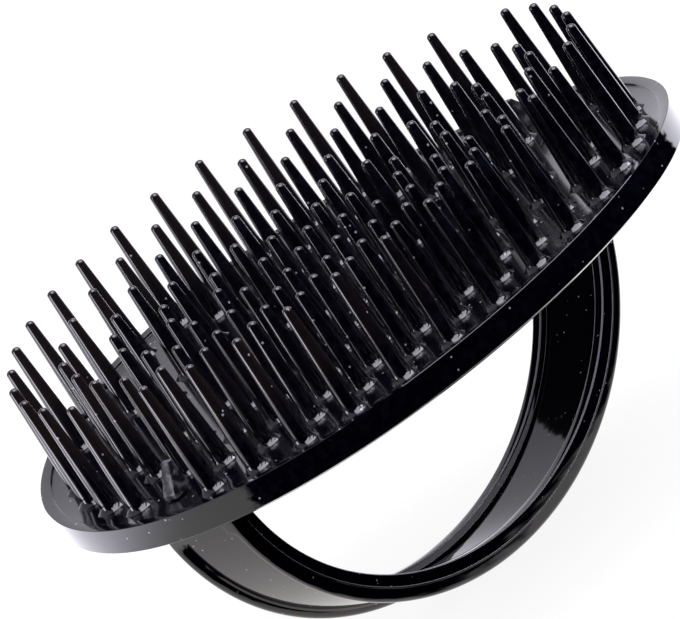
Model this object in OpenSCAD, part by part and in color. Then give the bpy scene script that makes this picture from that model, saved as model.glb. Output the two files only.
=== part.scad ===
// Palm shampoo brush: a round bristle plate snapped onto a strap handle.
// Millimetres. X runs along the handle's chord, Z points to the bristle tips.
// The origin is under the middle of the plate, level with the handle's lowest point.

/* [Plate] */
// Radius of the plate at its edge wall
plate_r = 40.4; // [39.5:0.1:44]
// Height of the plate's edge wall
plate_h = 3.4; // [2.6:0.1:4.5]
// Width of the flat lip round the top of the plate
lip_w = 1.3; // [0.8:0.1:2]
// How far the bristle floor lies below the lip
floor_drop = 0.35; // [0.1:0.05:0.8]
// Rounding of the plate's bottom edge
edge_round = 1.25; // [0.8:0.05:2]
// Radius to which the plate is bent about the handle's chord
bend_r = 506; // [350:1:900]

/* [Bristles] */
// Length of the centre bristle above the floor
centre_len = 10.5; // [8:0.1:14]
// How much longer the outermost bristles are than the centre one
outer_extra = 2.9; // [0:0.1:5]
// Radius of a bristle just above its foot
bristle_r = 1.1; // [0.8:0.05:1.4]
// Radius of a bristle at its tip
tip_r = 0.56; // [0.3:0.02:0.8]
// Length of the rounded-off end of a tip
tip_round = 0.45; // [0.1:0.05:0.5]
// Radius of the flared foot
foot_r = 1.7; // [1.5:0.05:2.2]
// Height of the flared foot
foot_h = 0.8; // [0.4:0.1:1.6]
// Clear floor between the outermost feet and the lip
edge_gap = 1.4; // [0.6:0.1:2.4]

/* [Handle] */
// How far the handle's outer face stands in from the plate's edge
bow_inset = 5.55; // [4.5:0.05:6]
// Depth of the handle's arch below the plate
bow_b = 28.35; // [22:0.05:34]
// Thickness of the handle strap at its rims
bow_wall = 3; // [2.4:0.1:3.6]
// Width of the handle strap over the parting ridges of its sides
bow_w = 12; // [9:0.1:16]
// How far the parting ridge along the middle of each side stands out
side_ridge = 0.08; // [0.04:0.02:0.3]
// Width of the parting ridge
ridge_w = 0.24; // [0.1:0.02:0.6]
// Width of each raised rim
rim_w = 1.4; // [1.2:0.1:2.2]
// Flat left along the crest of the rounded outer rims
rim_flat = 0.1; // [0.05:0.05:0.8]
// Rounding of the strap's inner edges
strap_round = 0.2; // [0.1:0.05:0.4]
// Thickness of the web between the two pockets
web_t = 1.4; // [1:0.1:2]
// Draft of the pocket walls, measured across the strap
pocket_draft = 0.15; // [0.05:0.05:0.4]
// Corner rounding of the pocket ends
pocket_round = 1.2; // [0.6:0.1:3]
// Height of the solid foot between pocket and plate
foot_zone = 2.9; // [1.6:0.1:4]
// Sideways place of the handle from the middle of the plate
bow_shift = 1.1; // [0:0.1:2]

/* [Snap hooks] */
// Thickness of a hook's shank along the chord
hook_t = 1.2; // [1:0.1:2]
// How far a shank stands in from the strap's outer face
hook_inset = 0.2; // [0.2:0.05:0.6]
// Width of a hook's shank and barb across the chord
hook_w = 2; // [1.6:0.1:3.4]
// Width of the wedge at its point
hook_top_w = 1.3; // [0.8:0.1:1.6]
// Height of a hook's wedge above the plate's floor
hook_h = 3.7; // [3:0.1:5.5]
// Thickness of the flattened point of the wedge
hook_point = 0.6; // [0.4:0.1:0.9]
// How far the wedge juts out past the shank
barb = 1.4; // [0.6:0.1:1.6]
// Height of the barb's blunt edge
barb_h = 0.6; // [0.3:0.1:1]
// How far the shank is rooted in the handle's foot
hook_root = 1; // [0.5:0.1:1.5]
// Clearance between a hook and its slot
slot_gap = 0.15; // [0.1:0.05:0.3]

/* [Hidden] */
$fn = 96;
black = "#1b1b1f";
over = 1;                               // how far a cutter reaches past what it cuts
rings = 6;                              // bristle rings round the centre bristle, one node each
six_axis = 30;                          // angle of the pattern's first row of bristles
bow_a = plate_r - bow_inset;            // half of the handle's outer span
under_z = bow_b;                        // plate's underside over the chord
top_z = under_z + plate_h;              // lip over the chord
floor_z = top_z - floor_drop;           // bristle floor over the chord
bend_steps = 24;                        // strips of the bent surface on each side of the chord
edge_steps = 4;                         // facets across the rounded bottom edge
round_steps = 144;                      // facets along the rounded bottom edge
arch_steps = 60;                        // segments of the strap between its pocket ends
foot_steps = 3;                         // segments of a bristle's flared foot
bead_steps = 3;                         // facets in each quarter of an outer rim's round
foot_dip = 0.05;                        // shallow dish in the solid foot, continuing the pocket

// How far the bent plate rises at a distance y from the chord.
function lift(y) = y * y / (2 * bend_r);

// Everything above the bent surface that runs through height z over the chord.
module above_bend(z) {
    reach = plate_r + 4 * over;
    ceiling = z + lift(reach) + max(plate_h, centre_len + outer_extra) + over;
    rotate([90, 0, 90]) linear_extrude(2 * reach, center = true) polygon(concat(
        [for (i = [-bend_steps : bend_steps]) let (y = reach * i / bend_steps) [y, z + lift(y)]],
        [[reach, ceiling], [-reach, ceiling]]));
}

// Solid through closed rings of points that all have the same count, capped at both ends
// or joined end to end.
module loft(rows, joined = false) {
    count = len(rows[0]);
    last = len(rows) - (joined ? 1 : 2);
    function at(i, j) = (i % len(rows)) * count + j % count;
    walls = [for (i = [0 : last], j = [0 : count - 1], half = [0, 1])
        half == 0 ? [at(i, j), at(i, j + 1), at(i + 1, j + 1)] : [at(i, j), at(i + 1, j + 1), at(i + 1, j)]];
    caps = joined ? [] : [[for (j = [count - 1 : -1 : 0]) j], [for (j = [0 : count - 1]) at(len(rows) - 1, j)]];
    polyhedron([for (row = rows) each row], concat(walls, caps));
}

module plate() {
    color(black) difference() {
        intersection() {
            translate([0, 0, under_z - over]) cylinder(r = plate_r, h = plate_h + 4 * over);
            above_bend(under_z);
        }
        above_bend(top_z);
        intersection() {
            above_bend(floor_z);
            translate([0, 0, under_z]) cylinder(r = plate_r - lip_w, h = plate_h + 4 * over);
        }
        edge_cutter();
        for (s = [0, 180]) rotate([0, 0, s]) slot();
    }
}

// Ring that cuts the plate's bottom edge round. Its first face is drawn on past the wall.
module edge_cutter() {
    step = 90 / edge_steps;
    past = 0.1;
    arc = [for (i = [0 : edge_steps]) [plate_r - edge_round * (1 - cos(i * step)),
        edge_round * (1 - sin(i * step))]];
    profile = concat([[plate_r + over, -over], [plate_r + over, edge_round + past / tan(step / 2)],
        [plate_r + past, edge_round + past / tan(step / 2)]],
        [for (i = [1 : edge_steps]) arc[i]], [[plate_r - edge_round - over, -over]]);
    loft([for (k = [0 : round_steps - 1]) let (a = 360 * k / round_steps)
        [for (p = profile) [p[0] * cos(a), p[0] * sin(a), under_z + lift(p[0] * sin(a)) + p[1]]]], joined = true);
}

// Slot in the plate for one hook's shank.
module slot() {
    translate([hook_x() - slot_gap, -hook_w / 2 - slot_gap, under_z - over])
        cube([hook_t + 2 * slot_gap, hook_w + 2 * slot_gap, plate_h + 4 * over]);
}

// Inner face of a hook's shank, which stands just inside the strap's outer face.
function hook_x() = bow_a - hook_inset - hook_t;

// One bristle standing at radius r and angle a, its length measured from the floor.
module bristle(r, a, length) {
    flare = foot_r - bristle_r;
    foot = [for (i = [0 : foot_steps]) let (t = i / foot_steps)
        [bristle_r + flare * pow(1 - t, 1.4), foot_h * t]];
    translate([r * cos(a), r * sin(a), floor_z + lift(r * sin(a))]) rotate_extrude($fn = 48) polygon(concat(
        [[0, -over], [foot_r, -over]], foot,
        [[tip_r, length - tip_round], [tip_r * cos(45), length - tip_round * (1 - sin(45))],
        [tip_r / 3, length], [0, length]]));
}

// Ring n of the pattern: 6n bristles, with none over the chord where the hooks come through.
module bristle_ring(n) {
    length = centre_len + outer_extra * pow(n / rings, 2);
    pitch = (plate_r - lip_w - edge_gap - foot_r) / rings;
    color(black) intersection() {
        union() for (k = [0 : 6 * n - 1]) {
            a = six_axis + k * 60 / n;
            if (n < rings || abs(sin(a)) > 0.01) bristle(n * pitch, a, length);
        }
        above_bend(floor_z);
    }
}

module bristle_centre() {
    color(black) intersection() {
        bristle(0, 0, centre_len);
        above_bend(floor_z);
    }
}

// Half of the strap's section, from the middle of the outer face to the middle of the inner one,
// as distances across the strap and into it: pocket, rounded outer rim, parting ridge and inner rim.
function half_section(pocket, depth) = let (side = bow_w / 2 - side_ridge, wall = pocket + pocket_draft,
        bead = (rim_w - rim_flat) / 2, dip = min(bead, depth), e = strap_round, k = e * (1 - cos(45)))
    concat([[pocket, depth]],
        [for (a = [0 : 90 / bead_steps : 90]) [wall + bead * (1 - cos(a)), dip * (1 - sin(a))]],
        [for (a = [90 : -90 / bead_steps : 0]) [side - bead * (1 - cos(a)), bead * (1 - sin(a))]],
        [[side, (bow_wall - ridge_w) / 2], [bow_w / 2, bow_wall / 2], [side, (bow_wall + ridge_w) / 2],
        [side, bow_wall - e], [side - k, bow_wall - k], [side - e, bow_wall], [wall, bow_wall],
        [pocket, bow_wall - depth]]);

// The strap's closed section: the half and its mirror image.
function section(pocket, depth) = let (half = half_section(pocket, depth), n = len(half))
    concat(half, [for (j = [n - 1 : -1 : 0]) [-half[j][0], half[j][1]]]);

// The section set up at angle t of the arch's half ellipse, raised by up.
function station(t, up, s) = [for (p = s) [(bow_a - p[1]) * cos(t), p[0],
    under_z + up - (bow_b - p[1]) * sin(t)]];

// Stations in one pocket's rounded end, as shares of the corner rounding.
function end_shares() = [0, 0.15, 0.3, 0.5, 0.75, 1];

module strap() {
    half = bow_w / 2 - side_ridge - rim_w - pocket_draft;
    depth = (bow_wall - web_t) / 2;
    ends = [for (u = end_shares()) [asin((foot_zone + u * pocket_round) / bow_b),
        section(half - pocket_round * (1 - sqrt(1 - pow(1 - u, 2))), u == 0 ? foot_dip : depth)]];
    first = ends[len(ends) - 1][0];
    flat = section(half - pocket_round, foot_dip);
    loft(concat(
        [station(0, over, flat), station(0, 0, flat)],
        [for (e = ends) station(e[0], 0, e[1])],
        [for (i = [1 : arch_steps - 1]) station(first + (180 - 2 * first) * i / arch_steps, 0, section(half, depth))],
        [for (i = [len(ends) - 1 : -1 : 0]) station(180 - ends[i][0], 0, ends[i][1])],
        [station(180, 0, flat), station(180, over, flat)]));
}

module handle_bow() {
    color(black) difference() {
        translate([0, bow_shift, 0]) strap();
        above_bend(under_z);
    }
    color(black) for (s = [0, 180]) rotate([0, 0, s]) hook();
}

// Cantilever hook on the plate's own middle: a shank through the plate and, over it, a wedge that
// juts outwards and narrows to its point.
module hook() {
    rise = floor_z + lift(hook_w / 2) + slot_gap - under_z;
    top = floor_z - under_z + hook_h;
    translate([hook_x(), 0, under_z]) intersection() {
        rotate([90, 0, 0]) linear_extrude(hook_w + over, center = true) polygon([
            [0, -hook_root], [hook_t, -hook_root], [hook_t, rise], [hook_t + barb, rise],
            [hook_t + barb, rise + barb_h], [hook_point, top], [0, top]]);
        rotate([90, 0, 90]) translate([0, 0, -over]) linear_extrude(hook_t + barb + 2 * over) polygon([
            [-hook_w / 2, -hook_root], [hook_w / 2, -hook_root], [hook_w / 2, rise + barb_h],
            [hook_top_w / 2, top], [-hook_top_w / 2, top], [-hook_w / 2, rise + barb_h]]);
    }
}

plate();
bristle_centre();
bristle_ring(1);  // bristle_ring_1
bristle_ring(2);  // bristle_ring_2
bristle_ring(3);  // bristle_ring_3
bristle_ring(4);  // bristle_ring_4
bristle_ring(5);  // bristle_ring_5
bristle_ring(6);  // bristle_ring_6
handle_bow();
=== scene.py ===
"""Looks of the palm shampoo brush: black glossy mouldings on a white ground. Metres, in the CAD frame."""
import math
import random

import bmesh
import bpy
from mathutils import Matrix, Vector


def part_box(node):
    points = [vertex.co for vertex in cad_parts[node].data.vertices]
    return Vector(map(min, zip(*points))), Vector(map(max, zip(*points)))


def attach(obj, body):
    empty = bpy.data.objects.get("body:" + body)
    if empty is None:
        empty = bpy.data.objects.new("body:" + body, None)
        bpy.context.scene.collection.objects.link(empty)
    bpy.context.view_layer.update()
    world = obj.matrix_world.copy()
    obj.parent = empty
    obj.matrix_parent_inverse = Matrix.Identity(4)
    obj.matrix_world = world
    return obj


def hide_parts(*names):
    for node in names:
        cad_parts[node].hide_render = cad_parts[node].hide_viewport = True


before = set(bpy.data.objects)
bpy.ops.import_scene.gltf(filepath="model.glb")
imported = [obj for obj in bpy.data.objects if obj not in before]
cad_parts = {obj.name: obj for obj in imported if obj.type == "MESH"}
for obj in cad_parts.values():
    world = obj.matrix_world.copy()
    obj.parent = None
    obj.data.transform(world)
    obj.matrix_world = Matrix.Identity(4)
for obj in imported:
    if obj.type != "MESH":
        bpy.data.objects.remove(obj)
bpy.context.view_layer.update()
MM = 0.001

# Camera of the photograph, solved from the bristle tips and the plate's edges.
PHOTO_W = 680                       # pixels
AZIMUTH, ELEVATION, ROLL = (math.radians(angle) for angle in (-39.283, 15.457, 34.457))
TARGET = Vector((-3.12, -0.70, 32.75)) * MM
DISTANCE = 900 * MM
FOCAL_PX = 8368.3
SENSOR_W = 36                       # millimetres, as the camera counts them

# Studio as the gloss reflects it: white behind the brush and dark on the camera's side.
BACK_AZIMUTH = math.radians(83)     # middle of the white side, counted from +X
BACK = Vector((math.cos(BACK_AZIMUTH), math.sin(BACK_AZIMUTH), 0))
WHITE_LEVEL = 1.15
FAR_LEVEL = 2.3                     # of the far floor
WALL_EDGE = (-0.02, 0.02)           # cosine to BACK, where dark turns white
WALL_FADE = (0.05, 0.4)             # sine of the elevation, where the white dims upwards
WALL_TOP = 0.55                     # share of the white that is left above that
DIFFUSE_LEVEL = 0.8                 # what the world adds for diffuse light, from all round
FLOOR_SIZE = 4
FLOOR_EDGE = (-12.6 * MM, -6.6 * MM)    # along BACK, where dark turns white
FLOOR_JAG, JAG_SCALE = 20 * MM, 160.0   # raggedness of that edge
FAR_DEPTH = (20 * MM, 120 * MM)     # along BACK, where the floor brightens
FAR_RIGHT = (40 * MM, 100 * MM)     # the same along +X
CAST_TURN = (0.0, 0.6)              # share of the way to the far level, where warm turns cool
MATT_SHARE = 0.1                    # share of the floor that is matt and so takes the shadow
PURE_WHITE, PALE_GREY = (1, 1, 1, 1), (0.8, 0.8, 0.8, 1)
WARM_CAST, COOL_CAST = (1.02, 0.985, 0.97, 1), (0.98, 0.96, 1.06, 1)
LAMP_COLOUR = (0.96, 0.95, 1.05)
# name: place, point that it faces, (width, height), radiance
LAMPS = {
    "softbox_left": ((-0.177, 0.082, 0.082), (0, 0, 0.082), (0.048, 0.16), 9),
    "softbox_top": ((0.14, -0.14, 0.485), (0, 0, 0.03), (0.6, 0.5), 6),
    "bounce_right": ((0.4, -0.32, 0.19), (0, 0, 0.03), (0.6, 0.26), 1.1),
}

# Black plastic.
# The warm brown is a painted reflection, put on the upper parts of the far and left outer bristles.
BLACK, PAINTED_REFLECTION_BROWN, DUST = (0.0007, 0.0004, 0.0018, 1), (0.0075, 0.0052, 0.0056, 1), (0.3, 0.3, 0.33, 1)
DUST_SIZE = (0.05, 0.11)            # of a cell, from full dust to none
DUST_FROM = 0.55                    # cells whose random red is above this hold dust
RIPPLE_SCALE, SMEAR_SCALE, GRAIN_SCALE = 260.0, 1100.0, 2600.0
SMEAR_SPAN = 0.26                   # of the noise, from no smear to a full one
GRAIN_RANGE = (0.3, 0.7)            # of the noise
GRAIN_ROUGH = (0.8, 1.25)           # share of the roughness at both ends of that range
GRAIN_HEIGHT = 0.06                 # against a ripple of 1
BUMP_STRENGTH, BUMP_HEIGHT = 0.35, 0.04 * MM
PLASTIC_IOR = 1.55
# The underside's low specular level is a painted shade: it keeps the underside from reflecting the white
# floor.
SPECULAR, SHADED_UNDER_SPECULAR = 0.5, 0.06
TOP_ROUGH, UNDER_ROUGH = 0.13, 0.9
FACING_UP, FACING_DOWN = (0.75, 0.95), (-0.98, -0.94)   # the normal's z
FAR_LEFT = (-0.12, 0.22, 0)         # the side where a bristle counts as standing further out
REFLECTION_OUT = (29 * MM, 36 * MM)       # distance from the axis, so counted, where black turns to the painted brown reflection
REFLECTION_UP = (3 * MM, 9 * MM)          # height above the plate's floor, where it does so too

# Sizes that the frame gives.
plate_low, plate_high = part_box("plate")
PLATE_R = (plate_high.x - plate_low.x) / 2
UNDER_Z = plate_low.z
RINGS = sum(name.startswith("bristle_ring_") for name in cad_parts)

# Angle above which an edge stays sharp, on every piece.
SHARP_FROM = math.radians(35)

# Plate, as in the CAD source, with the small edges that the photograph shows.
PLATE_SIDES = 192
FLOOR_RINGS = 14
BEND_R = 506 * MM
PLATE_H = 3.4 * MM
LIP_W = 1.3 * MM
FLOOR_DROP = 0.35 * MM
TOP_Z = UNDER_Z + PLATE_H
FLOOR_Z = TOP_Z - FLOOR_DROP
STEP_ROUND = 0.1 * MM
CROWN = 0.045 * MM
BEVEL_W = 0.92 * MM
BEVEL_SLOPE = 24                    # degrees
BEVEL_CORNER = 0.12 * MM

# Bristles.
BRISTLE_SIDES = 40
CENTRE_LEN = 10.5 * MM
OUTER_EXTRA = 2.9 * MM
BRISTLE_R = 1.1 * MM
TIP_R = 0.56 * MM
TIP_ROUND = 0.45 * MM
TIP_SWEEP = 84                      # degrees
FOOT_R = 1.7 * MM
FOOT_H = 0.8 * MM
FOOT_CURVE = 2.2
FOOT_SINK = 0.05 * MM
EDGE_GAP = 1.4 * MM
SIX_AXIS = math.radians(30)
ON_CHORD = 0.01                     # sine below which a bristle stands on the handle's chord
LEAN, LEAN_SEED = 0.006, 7

# Handle.
BOW_A = PLATE_R - 5.55 * MM
BOW_B = UNDER_Z
BOW_WALL = 3 * MM
BOW_W = 12 * MM
BOW_SHIFT = 1.1 * MM
BOW_STEPS = 120
SIDE_RIDGE = 0.08 * MM
RIDGE_W = 0.24 * MM
RIM_W = 1.4 * MM
RIM_FLAT = 0.1 * MM
STRAP_ROUND = 0.2 * MM
WEB_T = 1.4 * MM
POCKET_DRAFT = 0.15 * MM
POCKET_ROUND = 1.2 * MM
POCKET_EDGE = 0.16 * MM
POCKET_FILLET = 0.03 * MM
POCKET_STATIONS = (0, 0.04, 0.09, 0.15, 0.22, 0.32, 0.45, 0.6, 0.8, 1)     # shares of the rounded end
POCKET_RUN = 0.15                   # share of it in which the pocket reaches its depth
FOOT_ZONE = 2.9 * MM
HIGHLIGHT_SLANT = (0.15, 0.97)          # share of the normal across the strap on an edge that gets the painted highlight

# Snap hooks.
HOOK_T = 1.2 * MM
HOOK_INSET = 0.2 * MM
HOOK_W = 2 * MM
HOOK_TOP_W = 1.3 * MM
HOOK_H = 3.7 * MM
HOOK_POINT = 0.6 * MM
HOOK_ROUND = 0.12 * MM
BARB = 1.4 * MM
BARB_H = 0.6 * MM
SLOT_GAP = 0.15 * MM
HOOK_X = BOW_A - HOOK_INSET - HOOK_T


# ---------------------------------------------------------------- shader nodes

def add_node(tree, kind, inputs=None, **settings):
    """New shader node with these settings, and its inputs set to values or linked to sockets."""
    made = tree.nodes.new(kind)
    for name, value in settings.items():
        setattr(made, name, value)
    for key, value in (inputs or {}).items():
        if isinstance(value, bpy.types.NodeSocket):
            tree.links.new(value, made.inputs[key])
        else:
            made.inputs[key].default_value = value
    return made


def maths(tree, operation, *values):
    """Output of a Math node on these numbers or sockets."""
    return add_node(tree, "ShaderNodeMath", dict(enumerate(values)), operation=operation).outputs[0]


def ramp(tree, value, low, high, to_low=0.0, to_high=1.0):
    """Value mapped smoothly from low..high to to_low..to_high."""
    made = add_node(tree, "ShaderNodeMapRange", {"Value": value, "From Min": low, "From Max": high,
                                                 "To Min": to_low, "To Max": to_high},
                    interpolation_type="SMOOTHSTEP")
    return made.outputs["Result"]


def blend(tree, factor, low, high, kind="RGBA"):
    """Colour between two colours or sockets, or with kind FLOAT the number between two."""
    return add_node(tree, "ShaderNodeMix", {"Factor": factor, "A": low, "B": high},
                    data_type=kind).outputs["Result"]


def along(tree, vector, way):
    """Dot product of a vector socket with a fixed way."""
    return add_node(tree, "ShaderNodeVectorMath", {0: vector, 1: way},
                    operation="DOT_PRODUCT").outputs["Value"]


def part_of(tree, vector, axis):
    """One axis of a vector socket."""
    return add_node(tree, "ShaderNodeSeparateXYZ", {0: vector}).outputs[axis]


def noise(tree, place, scale, detail):
    """Noise of this scale and detail."""
    return add_node(tree, "ShaderNodeTexNoise",
                    {"Vector": place, "Scale": scale, "Detail": detail}).outputs["Fac"]


# ---------------------------------------------------------------- camera, world and lamps

def link_object(name, data):
    """New object with this data, linked to the scene."""
    made = bpy.data.objects.new(name, data)
    bpy.context.scene.collection.objects.link(made)
    return made


def make_camera():
    """Camera that looks at the target from the photograph's side, rolled as it was."""
    forward = Vector((-math.sin(AZIMUTH) * math.cos(ELEVATION),
                      math.cos(AZIMUTH) * math.cos(ELEVATION), -math.sin(ELEVATION)))
    side = forward.cross(Vector((0, 0, 1))).normalized()
    up = Matrix.Rotation(ROLL, 3, forward) @ side.cross(forward)
    right = forward.cross(up)
    data = bpy.data.cameras.new("camera")
    data.sensor_fit, data.sensor_width = "HORIZONTAL", SENSOR_W
    data.lens = FOCAL_PX * SENSOR_W / PHOTO_W
    data.clip_start, data.clip_end = 0.05, 20
    camera = link_object("camera", data)
    turn = Matrix((right, up, -forward)).transposed()
    camera.matrix_world = Matrix.Translation(TARGET - forward * DISTANCE) @ turn.to_4x4()
    bpy.context.scene.camera = camera


def make_world():
    """White for the camera. In reflections it is white behind the brush and dark on the camera's side."""
    world = bpy.data.worlds.new("studio")
    bpy.context.scene.world = world
    world.use_nodes = True
    tree = world.node_tree
    tree.nodes.clear()
    ray = add_node(tree, "ShaderNodeLightPath")
    way = add_node(tree, "ShaderNodeTexCoord").outputs["Generated"]
    side = ramp(tree, along(tree, way, BACK), *WALL_EDGE, 0.0, WHITE_LEVEL)
    white = maths(tree, "MULTIPLY", side, ramp(tree, part_of(tree, way, "Z"), *WALL_FADE, 1.0, WALL_TOP))
    diffuse = maths(tree, "MULTIPLY", ray.outputs["Is Diffuse Ray"], DIFFUSE_LEVEL)
    seen = ray.outputs["Is Camera Ray"]
    level = blend(tree, seen, maths(tree, "ADD", white, diffuse), 1.0, "FLOAT")
    tone = blend(tree, seen, COOL_CAST, PURE_WHITE)
    background = add_node(tree, "ShaderNodeBackground", {"Color": tone, "Strength": level})
    output = add_node(tree, "ShaderNodeOutputWorld")
    tree.links.new(background.outputs[0], output.inputs["Surface"])


def floor_material():
    """White for the camera with a faint shadow. In reflections it is dark on the camera's side."""
    material = bpy.data.materials.new("floor")
    material.use_nodes = True
    tree = material.node_tree
    tree.nodes.clear()
    ray = add_node(tree, "ShaderNodeLightPath")
    place = add_node(tree, "ShaderNodeNewGeometry").outputs["Position"]
    depth = along(tree, place, BACK)
    jag = maths(tree, "SUBTRACT", noise(tree, place, JAG_SCALE, detail=3.0), 0.5)
    edge = maths(tree, "ADD", depth, maths(tree, "MULTIPLY", jag, FLOOR_JAG))
    far = maths(tree, "ADD", ramp(tree, depth, *FAR_DEPTH), ramp(tree, part_of(tree, place, "X"), *FAR_RIGHT))
    bright = ramp(tree, far, 0.0, 1.0, WHITE_LEVEL, FAR_LEVEL)
    mirrored = maths(tree, "MULTIPLY", ramp(tree, edge, *FLOOR_EDGE), bright)
    seen = ray.outputs["Is Camera Ray"]
    level = blend(tree, seen, mirrored, 1.0, "FLOAT")
    tone = blend(tree, seen, blend(tree, ramp(tree, far, *CAST_TURN), WARM_CAST, COOL_CAST), PURE_WHITE)
    glow = add_node(tree, "ShaderNodeEmission", {"Color": tone, "Strength": level}).outputs[0]
    matt = add_node(tree, "ShaderNodeBsdfDiffuse", {"Color": PALE_GREY}).outputs[0]
    plain = add_node(tree, "ShaderNodeMixShader", {0: MATT_SHARE, 1: glow, 2: matt}).outputs[0]
    mixed = add_node(tree, "ShaderNodeMixShader", {0: ray.outputs["Is Glossy Ray"], 1: plain, 2: glow})
    output = add_node(tree, "ShaderNodeOutputMaterial")
    tree.links.new(mixed.outputs[0], output.inputs["Surface"])
    return material


def make_floor():
    """Ground at the handle's lowest point."""
    mesh = bpy.data.meshes.new("floor")
    half = FLOOR_SIZE / 2
    corners = [(-half, -half, 0), (half, -half, 0), (half, half, 0), (-half, half, 0)]
    mesh.from_pydata(corners, [], [(0, 1, 2, 3)])
    mesh.materials.append(floor_material())
    link_object("floor", mesh)


def make_lamp(name, place, aim, size, radiance):
    """Rectangular softbox that faces the point aim."""
    data = bpy.data.lights.new(name, "AREA")
    data.shape = "RECTANGLE"
    data.size, data.size_y = size
    data.energy = radiance * math.pi * size[0] * size[1]
    data.color = LAMP_COLOUR
    lamp = link_object(name, data)
    lamp.location = place
    lamp.rotation_euler = (Vector(aim) - Vector(place)).to_track_quat("-Z", "Y").to_euler()


# ---------------------------------------------------------------- material

def add_dust(tree, place, tone, speck_scale):
    """Tone with sparse pale dust."""
    speck = add_node(tree, "ShaderNodeTexVoronoi", {"Vector": place, "Scale": speck_scale})
    dot = ramp(tree, speck.outputs["Distance"], *DUST_SIZE, 1.0, 0.0)
    red = add_node(tree, "ShaderNodeSeparateColor", {0: speck.outputs["Color"]}).outputs[0]
    chosen = maths(tree, "GREATER_THAN", red, DUST_FROM)
    return blend(tree, maths(tree, "MULTIPLY", dot, chosen), tone, DUST)


def paint_reflection_on_far_tips(tree, place, tone):
    """Tone with a painted brown reflection up the outer bristles of the far and left sides."""
    flat = add_node(tree, "ShaderNodeVectorMath", {0: place, 1: (1, 1, 0)}, operation="MULTIPLY").outputs[0]
    radius = add_node(tree, "ShaderNodeVectorMath", {0: flat}, operation="LENGTH").outputs["Value"]
    outer = ramp(tree, maths(tree, "ADD", radius, along(tree, flat, FAR_LEFT)), *REFLECTION_OUT)
    high = ramp(tree, part_of(tree, place, "Z"), *(FLOOR_Z + height for height in REFLECTION_UP))
    return blend(tree, maths(tree, "MULTIPLY", outer, high), tone, PAINTED_REFLECTION_BROWN)


def dull_top_and_shade_under(tree, skin, rough, roughness):
    """Makes the plate's top a little rougher than its polished wall, and its underside dull and almost
    without reflection: a painted shade.
    """
    facing = part_of(tree, add_node(tree, "ShaderNodeNewGeometry").outputs["Normal"], "Z")
    top = ramp(tree, facing, *FACING_UP, 1.0, TOP_ROUGH / roughness)
    under = ramp(tree, facing, *FACING_DOWN, UNDER_ROUGH / roughness, 1.0)
    dull = maths(tree, "MULTIPLY", rough, maths(tree, "MAXIMUM", top, under))
    tree.links.new(dull, skin.inputs["Roughness"])
    # Painted shade: faces turned downwards almost stop reflecting.
    tree.links.new(ramp(tree, facing, *FACING_DOWN, SHADED_UNDER_SPECULAR, SPECULAR),
                   skin.inputs["Specular IOR Level"])


def black_plastic(name, roughness, speck_scale, haze, smear_from=0.42, painted_reflection_tips=False, dull_top_shade_under=False):
    """Glossy black moulding: faint ripple and grain in the skin, smears of this haze and sparse pale dust. If
    asked, a painted brown reflection up the far tips, and a rough top with an underside kept from reflecting
    as painted shade. A pale haze that covers everything is a painted highlight.
    """
    material = bpy.data.materials.new(name)
    material.use_nodes = True
    tree = material.node_tree
    skin = next(n for n in tree.nodes if n.type == "BSDF_PRINCIPLED")
    skin.inputs["IOR"].default_value = PLASTIC_IOR
    place = add_node(tree, "ShaderNodeTexCoord").outputs["Object"]
    ripple = noise(tree, place, RIPPLE_SCALE, detail=2.0)
    grain = noise(tree, place, GRAIN_SCALE, detail=3.0)

    smears = noise(tree, place, SMEAR_SCALE, detail=2.0)
    smear = ramp(tree, smears, smear_from, smear_from + SMEAR_SPAN)
    tone = blend(tree, smear, BLACK, haze)
    if painted_reflection_tips:
        tone = paint_reflection_on_far_tips(tree, place, tone)
    tree.links.new(add_dust(tree, place, tone, speck_scale), skin.inputs["Base Color"])

    low, high = (roughness * share for share in GRAIN_ROUGH)
    rough = add_node(tree, "ShaderNodeMapRange", {
        "Value": grain, "From Min": GRAIN_RANGE[0], "From Max": GRAIN_RANGE[1],
        "To Min": low, "To Max": high}).outputs["Result"]
    tree.links.new(rough, skin.inputs["Roughness"])
    if dull_top_shade_under:
        dull_top_and_shade_under(tree, skin, rough, roughness)

    height = maths(tree, "ADD", ripple, maths(tree, "MULTIPLY", grain, GRAIN_HEIGHT))
    bump = add_node(tree, "ShaderNodeBump",
                    {"Height": height, "Strength": BUMP_STRENGTH, "Distance": BUMP_HEIGHT})
    tree.links.new(bump.outputs["Normal"], skin.inputs["Normal"])
    return material


# ---------------------------------------------------------------- mesh helpers

def lift(y):
    """How far the bent plate rises at a distance y from the handle's chord."""
    return y * y / (2 * BEND_R)


def arc(x, y, radius_x, radius_y, start, end, steps):
    """Points on an elliptical arc about (x, y), from one angle in degrees to another."""
    return [(x + radius_x * math.cos(math.radians(a)), y + radius_y * math.sin(math.radians(a)))
            for a in (start + (end - start) * i / steps for i in range(steps + 1))]


def make_piece(name, vertices, faces, material, node):
    """Smooth-shaded piece on the root body that stands for this CAD node."""
    mesh = bpy.data.meshes.new(name)
    mesh.from_pydata(vertices, [], faces)
    shell = bmesh.new()
    shell.from_mesh(mesh)
    bmesh.ops.remove_doubles(shell, verts=shell.verts, dist=1e-7)
    bmesh.ops.recalc_face_normals(shell, faces=shell.faces)
    shell.to_mesh(mesh)
    shell.free()
    for face in mesh.polygons:
        face.use_smooth = True
    mesh.set_sharp_from_angle(angle=SHARP_FROM)
    mesh.materials.append(material)
    piece = link_object(name, mesh)
    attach(piece, "root")
    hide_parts(node)
    return piece


def apply_modifier(piece, modifier):
    """Turns a modifier's result into the piece's own mesh."""
    bpy.context.view_layer.objects.active = piece
    bpy.ops.object.modifier_apply(modifier=modifier.name)


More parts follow.
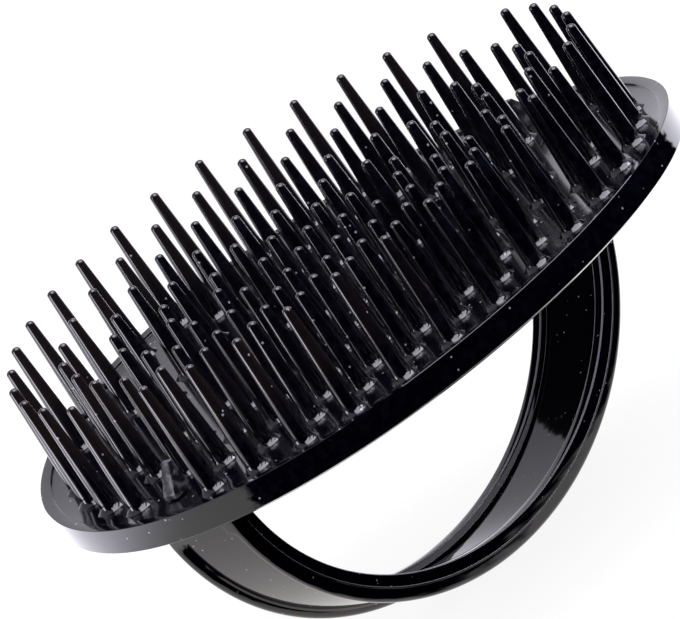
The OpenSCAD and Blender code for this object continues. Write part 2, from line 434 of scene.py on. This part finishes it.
def lathe(profile, place, segments, first=0):
    """Vertices and faces of a closed round solid: a profile of (radius, height) turned about an upright axis.

    Place moves each (x, y, z) to where it belongs, and first is the number of the first vertex."""
    vertices = [place(r * math.cos(a), r * math.sin(a), z) for r, z in profile
                for a in (2 * math.pi * k / segments for k in range(segments))]
    faces = [(first + i * segments + k, first + i * segments + (k + 1) % segments,
              first + (i + 1) * segments + (k + 1) % segments, first + (i + 1) * segments + k)
             for i in range(len(profile) - 1) for k in range(segments)]
    last = first + (len(profile) - 1) * segments
    faces.append(tuple(first + k for k in reversed(range(segments))))
    faces.append(tuple(last + k for k in range(segments)))
    return vertices, faces


# ---------------------------------------------------------------- plate

def plate_profile():
    """Half section of the plate, from the middle of its floor round the rim to the middle underneath."""
    inner = PLATE_R - LIP_W
    bevel = BEVEL_W * math.tan(math.radians(BEVEL_SLOPE))
    corner = BEVEL_CORNER * math.tan(math.radians(45 - BEVEL_SLOPE / 2))
    rows = [(inner * k / FLOOR_RINGS, -FLOOR_DROP) for k in range(1, FLOOR_RINGS)]
    rows += arc(inner - STEP_ROUND, STEP_ROUND - FLOOR_DROP, STEP_ROUND, STEP_ROUND, -90, 0, 3)
    rows += arc(inner + STEP_ROUND, -STEP_ROUND, STEP_ROUND, STEP_ROUND, 180, 90, 3)
    rows += [(PLATE_R - CROWN, 0), (PLATE_R, -CROWN)]
    rows += arc(PLATE_R - BEVEL_CORNER, corner + bevel - PLATE_H,
                BEVEL_CORNER, BEVEL_CORNER, 0, BEVEL_SLOPE - 90, 5)
    rows += [(PLATE_R - BEVEL_W, -PLATE_H)]
    rows += [(PLATE_R * k / FLOOR_RINGS, -PLATE_H) for k in range(FLOOR_RINGS - 1, 0, -1)]
    return rows


def cut_slots(plate):
    """Cuts the two slots that the hooks pass through."""
    for side in (-1, 1):
        middle = (side * (HOOK_X + HOOK_T / 2), 0, UNDER_Z + PLATE_H / 2)
        bpy.ops.mesh.primitive_cube_add(size=1, location=middle)
        cutter = bpy.context.object
        cutter.scale = (HOOK_T + 2 * SLOT_GAP, HOOK_W + 2 * SLOT_GAP, PLATE_H * 2)
        cut = plate.modifiers.new("slot", "BOOLEAN")
        cut.operation, cut.solver, cut.object = "DIFFERENCE", "EXACT", cutter
        apply_modifier(plate, cut)
        bpy.data.objects.remove(cutter)


def make_plate(material):
    """Bent round plate with its lip, bevelled bottom edge and slots."""
    vertices, faces = lathe(plate_profile(), lambda x, y, z: (x, y, TOP_Z + z + lift(y)), PLATE_SIDES)
    plate = make_piece("bristle_plate", vertices, faces, material, "plate")
    cut_slots(plate)


# ---------------------------------------------------------------- bristles

def bristle_profile(length):
    """Half section of a bristle: flared foot, taper and blunt rounded tip."""
    flare = FOOT_R - BRISTLE_R
    rows = [(BRISTLE_R + flare * (1 - k / 6) ** FOOT_CURVE, FOOT_H * k / 6) for k in range(7)]
    shaft = length - FOOT_H - TIP_ROUND
    rows += [(BRISTLE_R + (TIP_R - BRISTLE_R) * k / 5, FOOT_H + shaft * k / 5) for k in range(1, 5)]
    rows += arc(0, length - TIP_ROUND, TIP_R, TIP_ROUND, 0, TIP_SWEEP, 8)
    return [(FOOT_R, -FOOT_SINK)] + rows


def make_ring(ring, material, chance):
    """One ring of bristles, each with a hair of lean.

    The outermost ring has none on the chord, because the hooks come through there."""
    pitch = (PLATE_R - LIP_W - EDGE_GAP - FOOT_R) / RINGS
    length = CENTRE_LEN + OUTER_EXTRA * (ring / RINGS) ** 2
    vertices, faces = [], []
    for k in range(max(1, 6 * ring)):
        angle = SIX_AXIS + k * math.radians(60) / max(1, ring)
        if ring == RINGS and abs(math.sin(angle)) < ON_CHORD:
            continue
        x, y = ring * pitch * math.cos(angle), ring * pitch * math.sin(angle)
        lean = [chance.gauss(0, LEAN) for _ in "xy"]
        points, sides = lathe(bristle_profile(length), lambda u, v, w: (
            x + u + w * lean[0], y + v + w * lean[1],
            FLOOR_Z + w + lift(y + (v if w < FOOT_H else 0))), BRISTLE_SIDES, len(vertices))
        vertices += points
        faces += sides
    node = f"bristle_ring_{ring}" if ring else "bristle_centre"
    make_piece(node.replace("bristle_", "bristles_"), vertices, faces, material, node)


# ---------------------------------------------------------------- handle

def half_section(pocket, depth):
    """Half of the strap's section as (across, into the wall): pocket, outer rim, side ridge and inner rim."""
    side, wall = BOW_W / 2 - SIDE_RIDGE, pocket + POCKET_DRAFT
    bead = (RIM_W - RIM_FLAT) / 2
    dip = min(bead, depth)
    edge = min(POCKET_EDGE, depth / 2)
    fillet = min(POCKET_FILLET, (depth - dip) / 2)
    floor = [(pocket - 6 * POCKET_FILLET, depth), (pocket - POCKET_FILLET, depth),
             (pocket, depth - fillet)]
    outer = arc(wall + bead, dip, bead, dip, 180, 270, 8) + arc(side - bead, bead, bead, bead, -90, 0, 8)
    ridge = arc(side, BOW_WALL / 2, SIDE_RIDGE, RIDGE_W / 2, -90, 90, 6)
    inner = arc(side - STRAP_ROUND, BOW_WALL - STRAP_ROUND, STRAP_ROUND, STRAP_ROUND, 0, 90, 4)
    inner += arc(wall + POCKET_EDGE, BOW_WALL - edge, POCKET_EDGE, edge, 90, 180, 3)
    inner_floor = [(across, BOW_WALL - into) for across, into in reversed(floor)]
    return floor + outer + ridge + inner + inner_floor


def section(pocket, depth):
    """The whole section: the half one and its mirror image."""
    half = half_section(pocket, depth)
    return half + [(-across, into) for across, into in reversed(half)]


def station(angle, points):
    """The section set up at an angle of the arch's half ellipse."""
    return [((BOW_A - into) * math.cos(angle), BOW_SHIFT + across,
             UNDER_Z - (BOW_B - into) * math.sin(angle)) for across, into in points]


def paint_edge_highlights(strap, material):
    """Gives the strap's rounded inner edges a paler second material: a painted highlight."""
    strap.data.materials.append(material)
    low, high = HIGHLIGHT_SLANT
    for face in strap.data.polygons:
        inward = -face.normal.x * face.center.x - face.normal.z * (face.center.z - UNDER_Z)
        below_feet = face.center.z < UNDER_Z - FOOT_ZONE - POCKET_ROUND
        if low < abs(face.normal.y) < high and inward > 0 and below_feet:
            face.material_index = 1


def pocket_end(half, depth):
    """Angles and sections of a pocket's rounded end, out from a foot."""
    rows = []
    for share in POCKET_STATIONS:
        corner = POCKET_ROUND * (1 - math.sqrt(1 - (1 - share) ** 2))
        ramped = depth * min(1, math.sin(math.radians(90) * min(1, share / POCKET_RUN)))
        rows.append((math.asin((FOOT_ZONE + share * POCKET_ROUND) / BOW_B), section(half - corner, ramped)))
    return rows


def make_strap(material, highlight_material):
    """Half-elliptical strap: solid feet under the bent plate, and pockets on both faces between them."""
    half = BOW_W / 2 - SIDE_RIDGE - RIM_W - POCKET_DRAFT
    depth = (BOW_WALL - WEB_T) / 2
    near = pocket_end(half, depth)
    first = near[-1][0]
    angles = (first + (math.pi - 2 * first) * i / BOW_STEPS for i in range(1, BOW_STEPS))
    middle = [(angle, section(half, depth)) for angle in angles]
    far = [(math.pi - angle, points) for angle, points in reversed(near)]
    solid = section(half - POCKET_ROUND, 0)
    stations = [(0, solid)] + near + middle + far + [(math.pi, solid)]
    rows = [station(angle, points) for angle, points in stations]
    for end in (0, -1):
        rows[end] = [(x, y, UNDER_Z + lift(y)) for x, y, _ in rows[end]]
    count = len(rows[0])
    faces = [(i * count + j, i * count + (j + 1) % count,
              (i + 1) * count + (j + 1) % count, (i + 1) * count + j)
             for i in range(len(rows) - 1) for j in range(count)]
    faces += [tuple(range(count)), tuple((len(rows) - 1) * count + j for j in reversed(range(count)))]
    vertices = [point for row in rows for point in row]
    strap = make_piece("handle_strap", vertices, faces, material, "handle_bow")
    # Painted highlights on the strap's rounded inner edges.
    paint_edge_highlights(strap, highlight_material)


def make_hook(side, material):
    """Cantilever hook that comes up through the plate beside the outer bristles and narrows to its point."""
    rise = FLOOR_Z + lift(HOOK_W / 2) + SLOT_GAP - UNDER_Z
    top, wide, narrow = FLOOR_Z - UNDER_Z + HOOK_H, HOOK_W / 2, HOOK_TOP_W / 2
    outline = [(0, 0, wide), (HOOK_T, 0, wide), (HOOK_T, rise, wide), (HOOK_T + BARB, rise, wide),
               (HOOK_T + BARB, rise + BARB_H, wide), (HOOK_POINT, top, narrow), (0, top, narrow),
               (0, rise + BARB_H, wide)]
    vertices = [(side * (HOOK_X + u), across * half, UNDER_Z + w)
                for across in (-1, 1) for u, w, half in outline]
    n = len(outline)
    cheek = [(0, 1, 2, 7), (2, 3, 4, 7), (4, 5, 6, 7)]
    faces = cheek + [tuple(n + j for j in reversed(quad)) for quad in cheek]
    faces += [(j, (j + 1) % n, n + (j + 1) % n, n + j) for j in range(n)]
    name = "hook_right" if side > 0 else "hook_left"
    hook = make_piece(name, vertices, faces, material, "handle_bow")
    soft = hook.modifiers.new("edges", "BEVEL")
    soft.width, soft.segments, soft.limit_method = HOOK_ROUND, 3, "ANGLE"
    apply_modifier(hook, soft)


# ---------------------------------------------------------------- the brush

make_camera()
make_world()
make_floor()
for lamp_name, lamp_values in LAMPS.items():
    make_lamp(lamp_name, *lamp_values)
# The plate's underside gets painted shade: it barely reflects.
plate_skin = black_plastic("plate_plastic", roughness=0.035, speck_scale=700.0,
                           haze=(0.002, 0.002, 0.004, 1), dull_top_shade_under=True)
# The bristles carry the painted brown reflection up their far outer tips.
bristle_skin = black_plastic("bristle_plastic", roughness=0.08, speck_scale=620.0,
                             haze=(0.003, 0.003, 0.006, 1), painted_reflection_tips=True)
handle_skin = black_plastic("handle_plastic", roughness=0.035, speck_scale=900.0, haze=BLACK)
hook_skin = black_plastic("hook_plastic", roughness=0.3, speck_scale=900.0, haze=(0.06, 0.06, 0.068, 1))
# Pale grey all over: the painted highlight for the strap's rounded inner edges.
edge_highlight_skin = black_plastic("handle_edge_highlights", roughness=0.3, speck_scale=900.0,
                             haze=(0.34, 0.34, 0.38, 1), smear_from=-0.5)
make_plate(plate_skin)
lean_chance = random.Random(LEAN_SEED)
for ring_number in range(RINGS + 1):
    make_ring(ring_number, bristle_skin, lean_chance)
make_strap(handle_skin, edge_highlight_skin)
for hook_side in (-1, 1):
    make_hook(hook_side, hook_skin)

bpy.context.scene.view_settings.view_transform = "Standard"
